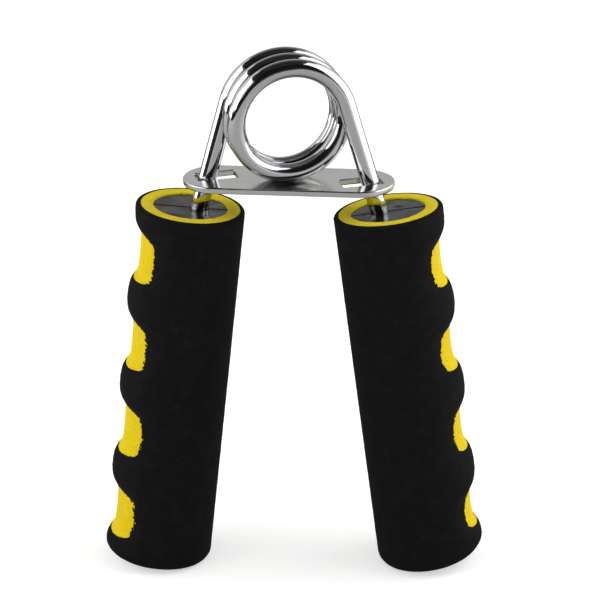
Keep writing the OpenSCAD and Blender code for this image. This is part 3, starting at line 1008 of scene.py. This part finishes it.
def largest_patch(kept):
    """The largest patch of true in a grid of true and false whose columns go all the way round."""
    rows, columns = kept.shape
    label = np.zeros(kept.shape, int)
    sizes = [0]
    for start in zip(*np.nonzero(kept)):
        if label[start]:
            continue
        waiting = [start]
        label[start] = len(sizes)
        sizes.append(0)
        while waiting:
            i, j = waiting.pop()
            sizes[-1] += 1
            for a, b in ((i - 1, j), (i + 1, j), (i, (j - 1) % columns), (i, (j + 1) % columns)):
                if 0 <= a < rows and kept[a, b] and not label[a, b]:
                    label[a, b] = len(sizes) - 1
                    waiting.append((a, b))
    return label == int(np.argmax(sizes))


print("a cut keeps", CROSSING_MARGIN, "of a cell away from its corners")

# %% [markdown]
# The cup's profile goes from the top's inner edge over its rounded rim, down the side, round the
# bottom's rim and in to the middle of the bottom. The bottom is rounder and ends a little higher
# on the side that points outward. Rows lie close together in the grooves.

# %% Rows down a cup, in millimetres
ALONG_STEP_GROOVE, ALONG_STEP_LOBE = 0.25, 0.8
TOP_STEPS, BOTTOM_STEPS, FLOOR_STEPS = 7, 13, 9
BOTTOM = {  # rounding on the inward and the outward side, and how much the outward side is raised
    "left": (3.2, 3.6, 0.5),
    "right": (3.8, 5.9, 0.9),
}


def along_steps():
    """Heights down the side of a cup, as shares of its length, close together in the grooves."""
    heights, z = [], 0.0
    while z < GRIP_LENGTH:
        away = abs((z - GROOVE_FIRST + GROOVE_PITCH / 2) % GROOVE_PITCH - GROOVE_PITCH / 2)
        z += ALONG_STEP_GROOVE if away < GROOVE_FLOOR / 2 + GROOVE_RAMP / 2 else ALONG_STEP_LOBE
        heights.append(z)
    return np.array(heights) / heights[-1]


def cup_grids(side):
    """Radius and z, outside and inside, for each row of the turned cup and each angle round it."""
    inner_round, outer_round, bottom_raise = BOTTOM[side]
    outward, level = (1 + np.cos(angles)) / 2, 0 * angles
    bottom_round = inner_round + (outer_round - inner_round) * outward
    bottom_z = -GRIP_LENGTH + bottom_raise * outward
    side_end = bottom_z + bottom_round
    hollow_end, hollow_r = -(GRIP_LENGTH - BLACK_FLOOR), yellow_r + GLUE_LINE
    rows = [(hollow_r + level, level)]
    rows += [(grip_r - TOP_ROUND * (1 - math.sin(a)) + level,
              TOP_ROUND * (math.cos(a) - 1) + level)
             for a in np.linspace(0, math.pi / 2, TOP_STEPS)]
    rows += [(grip_r + level, -TOP_ROUND + t * (side_end + TOP_ROUND)) for t in along_steps()]
    rows += [(grip_r - bottom_round * (1 - math.cos(a)), side_end - bottom_round * math.sin(a))
             for a in np.linspace(0, math.pi / 2, BOTTOM_STEPS)[1:]]
    rows += [((grip_r - bottom_round) * (1 - t),
              bottom_z * (1 - t) + (-GRIP_LENGTH + bottom_raise / 2) * t)
             for t in np.linspace(0, 1, FLOOR_STEPS)[1:]]
    outer_r, outer_z = np.array([r for r, _ in rows]), np.array([z for _, z in rows])
    on_wall = outer_z > hollow_end
    inner_r = np.where(on_wall, hollow_r, hollow_r * outer_r / grip_r)
    inner_z = np.where(on_wall, outer_z, hollow_end)
    return outer_r, outer_z, inner_r, inner_z


print("rows down a cup:", len(cup_grids("left")[0]))

# %% [markdown]
# Where the ground surface meets the yellow tube, a little unevenness in the thickness tears the
# black edge into small teeth at a window's sides, where it feathers slowly, and hardly shows at
# its ends, where the groove is steep. Torn-off crumbs are left out: only the largest patch of
# foam is kept.

# %% Black foam cups, in millimetres
LOBE_ROUND = 1.1
EDGE_FEATURE, EDGE_TEAR, EDGE_THIN = 0.7, 0.16, 0.3
SKIN_FEATURE, SKIN_WAVE, SKIN_SEED = 3.2, 0.05, 3
WHOLE, GONE = 1.0, -0.001  # thickness that stands for uncut foam, and for foam that is cut away
POLE_R = 0.1  # no waves within this radius of the bottom's middle, where all columns meet


def smooth_min(a, b, width):
    """The smaller of a and b, with the corner between them rounded over width."""
    share = np.clip(0.5 + 0.5 * (b - a) / width, 0, 1)
    return b + (a - b) * share - width * share * (1 - share)


def ground_cup(side, seed):
    """Outer and inner points of a ground cup, in the grip's frame, and its thickness."""
    turned, outer_z, inner_r, inner_z = cup_grids(side)
    ground = ground_radius(side, angles[None, :], outer_z)
    radius = np.where(ground < NOT_GROUND, smooth_min(turned, ground, LOBE_ROUND), turned)
    smooth = cylinder_points(radius, angles[None, :], outer_z)
    in_groove = ground < grip_r
    tear = EDGE_TEAR * ragged(smooth, EDGE_FEATURE, 2, seed)
    thickness = np.where(in_groove, radius - inner_r + tear, WHOLE)
    thickness = np.where(largest_patch(thickness > 0), thickness, np.minimum(thickness, GONE))
    inner_r = np.minimum(inner_r, radius + GLUE_LINE)
    radius = np.where(in_groove, np.maximum(radius, inner_r + EDGE_THIN * thickness), radius)
    wave = SKIN_WAVE * ragged(smooth, SKIN_FEATURE, 2, seed + SKIN_SEED)
    radius = radius + wave * np.clip(thickness, 0, 1) * (outer_z < 0) * (turned > POLE_R)
    return (cylinder_points(radius, angles[None, :], outer_z),
            cylinder_points(inner_r, angles[None, :], inner_z), thickness)


def black_cup(side, seed):
    """Makes the black foam of one grip."""
    outer, inner, thickness = ground_cup(side, seed)
    points, faces = clipped_shell(tilt_top(outer, side), tilt_top(inner, side), thickness)
    piece = foam_object(f"{side}_black_foam_cup", points, faces, side)
    count, row = thickness.size, thickness.shape[1]
    open_edges = tidy_mesh(piece, [range(count), range(count, 2 * count),
                                   [*range(row), *range(count, count + 2 * row)]])
    piece.data.materials.append(black_foam)
    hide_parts(f"{side}_outer_foam")
    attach(piece, f"{side}_grip")
    print(piece.name, len(piece.data.polygons), "faces,", open_edges, "open edges")


for seed, side in enumerate(SIDES, start=1):
    black_cup(side, seed)

# %% [markdown]
# ## Yellow foam
#
# The yellow tube has the same ground surface where the grooves bare it. Its cut top shows as a
# ring round the core, with edges that the knife left a little soft. Its profile is a closed loop:
# over the top, down the wall and back up the bore.

# %% Yellow foam tubes, in millimetres
YELLOW_EDGE_R, TUBE_STEP = 0.45, 0.6
EDGE_STEPS, RING_STEPS, BORE_STEPS = 5, 8, 30
YELLOW_FEATURE, YELLOW_SEED = 1.6, 11
WALL_MARGIN, GROUND_MARGIN = 0.01, 0.02


def tube_profile():
    """Radius and z along the profile of an unground tube."""
    bore_r = core_r + GLUE_LINE
    edge = [(YELLOW_EDGE_R * math.sin(a), YELLOW_EDGE_R * (math.cos(a) - 1))
            for a in np.linspace(0, math.pi / 2, EDGE_STEPS)]
    top = [(bore_r + YELLOW_EDGE_R - r, z) for r, z in reversed(edge)]
    across = np.linspace(bore_r + YELLOW_EDGE_R, yellow_r - YELLOW_EDGE_R, RING_STEPS)[1:-1]
    top += [(r, 0.0) for r in across]
    top += [(yellow_r - YELLOW_EDGE_R + r, z) for r, z in edge]
    count = round((core_bottom - YELLOW_EDGE_R) / TUBE_STEP)
    wall = [(yellow_r, z) for z in np.linspace(-YELLOW_EDGE_R, -core_bottom, count + 1)[1:]]
    bore = [(bore_r, z) for z in np.linspace(-core_bottom, -YELLOW_EDGE_R, BORE_STEPS)]
    return np.array(top + wall + bore)


def yellow_tube(side, seed):
    """Makes the yellow foam of one grip."""
    profile_r, profile_z = np.hsplit(tube_profile(), 2)
    radius = np.minimum(profile_r, ground_radius(side, angles[None, :], profile_z))
    points = cylinder_points(radius, angles[None, :], profile_z)
    wave = SKIN_WAVE * ragged(points, YELLOW_FEATURE, 3, seed + YELLOW_SEED)
    outwards = np.stack([np.cos(angles), np.sin(angles), 0 * angles], axis=-1)[None]
    is_bared = (profile_r > yellow_r - WALL_MARGIN) * (radius < yellow_r - GROUND_MARGIN)
    points = points + (wave * is_bared)[..., None] * outwards
    points[..., 2] += np.minimum(wave * (profile_z > -YELLOW_EDGE_R), 0)
    points = tilt_top(points, side)
    rows, columns = radius.shape
    faces = []
    for i in range(rows):
        for j in range(columns):
            k, below = (j + 1) % columns, (i + 1) % rows
            faces.append((i * columns + j, below * columns + j,
                          below * columns + k, i * columns + k))
    piece = foam_object(f"{side}_yellow_foam_tube", points.reshape(-1, 3), faces, side)
    open_edges = tidy_mesh(piece)
    piece.data.materials.append(yellow_foam)
    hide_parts(f"{side}_inner_foam")
    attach(piece, f"{side}_grip")
    print(piece.name, len(piece.data.polygons), "faces,", open_edges, "open edges")


for seed, side in enumerate(SIDES, start=1):
    yellow_tube(side, seed)
